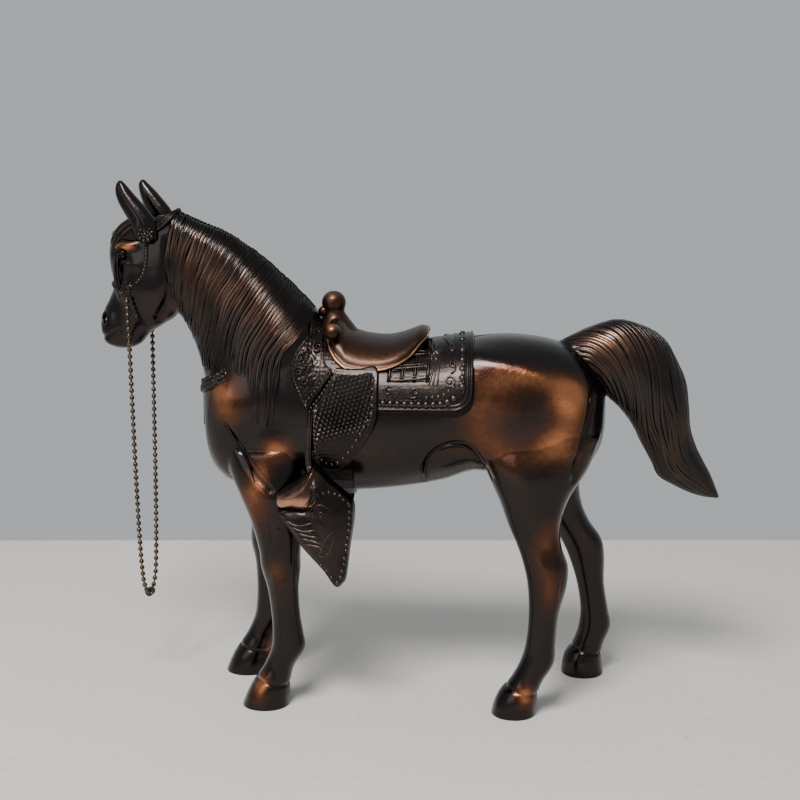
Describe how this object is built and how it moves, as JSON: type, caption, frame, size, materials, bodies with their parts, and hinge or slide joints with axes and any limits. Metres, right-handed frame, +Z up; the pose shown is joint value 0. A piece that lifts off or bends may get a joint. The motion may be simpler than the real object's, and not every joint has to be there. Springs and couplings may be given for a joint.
{
  "type": "saddled horse figurine",
  "caption": "Standing cast horse with a Western saddle, hooded stirrups and a hanging ball-chain rein loop, on four flat soles.",
  "frame": {"origin": "centre of the bounding box's base, on the ground plane under the belly, without the rein chain", "axes": "+Z up, -X towards the nose, -Y towards the horse's near (left) side"},
  "size_m": [0.2816, 0.0872, 0.2355],
  "materials": {
    "patinated_bronze": "dark glossy patina, rubbed to copper on the high places",
    "rubbed_brown": "satin",
    "dark_tooled": "dark glossy patina in the tooling",
    "antique_brass": "antique satin"
  },
  "bodies": {
    "root": {"body_near_half": "patinated_bronze", "body_off_half": "patinated_bronze", "fore_leg_insert": "patinated_bronze", "hind_leg_insert": "patinated_bronze", "saddle_seat": "rubbed_brown", "saddle_blanket": "dark_tooled", "saddle_horn": "dark_tooled", "near_swell_knob": "dark_tooled", "off_swell_knob": "dark_tooled", "near_jockey": "dark_tooled", "off_jockey": "dark_tooled", "near_fender": "dark_tooled", "off_fender": "dark_tooled", "near_stirrup_leather": "dark_tooled", "off_stirrup_leather": "dark_tooled", "near_tapadero": "dark_tooled", "off_tapadero": "dark_tooled", "near_stirrup_bowl": "dark_tooled", "off_stirrup_bowl": "dark_tooled", "girth": "dark_tooled", "breast_collar": "dark_tooled", "breast_ornament": "dark_tooled", "crown_strap": "dark_tooled", "browband": "dark_tooled", "noseband": "dark_tooled", "near_cheek_strap": "dark_tooled", "off_cheek_strap": "dark_tooled", "near_rosette": "dark_tooled", "off_rosette": "dark_tooled", "near_bit_boss": "dark_tooled", "off_bit_boss": "dark_tooled", "near_bit_loop": "antique_brass", "off_bit_loop": "antique_brass"},
    "reins": {"rein_chain": "antique_brass", "chain_clasp": "antique_brass"}
  },
  "joints": [
    {"name": "rein_swing", "type": "hinge", "parent": "root", "child": "reins", "pos_m": [-0.12279, 0.00709, 0.187], "axis": [0.2078, 0.9782, 0], "range_deg": [-15, 60]}
  ]
}
